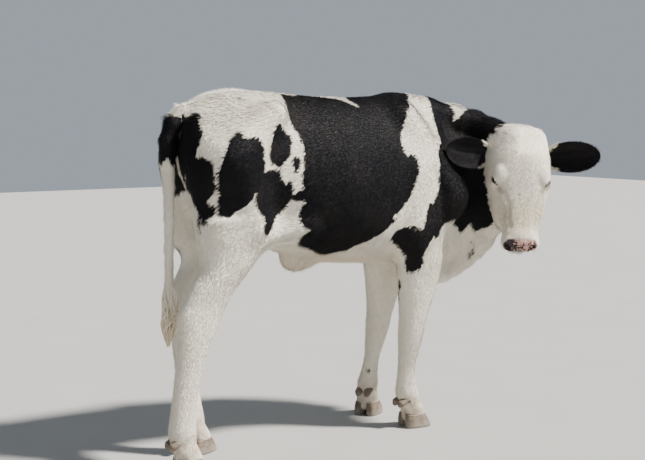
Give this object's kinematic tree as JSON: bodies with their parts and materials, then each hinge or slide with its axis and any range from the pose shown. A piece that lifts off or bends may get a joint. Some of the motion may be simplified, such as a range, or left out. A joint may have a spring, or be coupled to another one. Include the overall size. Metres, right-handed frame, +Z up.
{
  "type": "cow",
  "caption": "Young black-and-white dairy cow, hornless, standing with its head turned to its right; a still, life-size museum-style model.",
  "frame": {"origin": "on the floor under the middle of the whole model's box", "axes": "+X from tail to chest along the trunk, +Y to the animal's left, +Z up"},
  "size_m": [1.4946, 0.6536, 1.1587],
  "materials": {
    "hide_white": "short white hair lying flat",
    "hide_black": "short black hair lying flat, softly glossy",
    "tail_hair": "long wavy cream hair",
    "claw_horn": "dry ridged horn",
    "eye": "wet, dark and glossy"
  },
  "bodies": {
    "root": {"trunk": "hide_white", "neck": "hide_black", "head": "hide_white", "tail": "hide_black", "tail_switch": "tail_hair", "ear_right": "hide_black", "eye_right": "eye", "thigh_right": "hide_white", "shoulder_right": "hide_black", "hind_shank_right": "hide_white", "hind_cannon_right": "hide_white", "hind_pastern_right": "hide_white", "fore_forearm_right": "hide_white", "fore_cannon_right": "hide_white", "fore_pastern_right": "hide_white", "hind_claw_right_inner": "claw_horn", "hind_dewclaw_right_inner": "claw_horn", "hind_claw_right_outer": "claw_horn", "hind_dewclaw_right_outer": "claw_horn", "fore_claw_right_inner": "claw_horn", "fore_dewclaw_right_inner": "claw_horn", "fore_claw_right_outer": "claw_horn", "fore_dewclaw_right_outer": "claw_horn", "ear_left": "hide_black", "eye_left": "eye", "thigh_left": "hide_white", "shoulder_left": "hide_black", "hind_shank_left": "hide_white", "hind_cannon_left": "hide_white", "hind_pastern_left": "hide_white", "fore_forearm_left": "hide_white", "fore_cannon_left": "hide_white", "fore_pastern_left": "hide_white", "hind_claw_left_inner": "claw_horn", "hind_dewclaw_left_inner": "claw_horn", "hind_claw_left_outer": "claw_horn", "hind_dewclaw_left_outer": "claw_horn", "fore_claw_left_inner": "claw_horn", "fore_dewclaw_left_inner": "claw_horn", "fore_claw_left_outer": "claw_horn", "fore_dewclaw_left_outer": "claw_horn"}
  },
  "joints": []
}
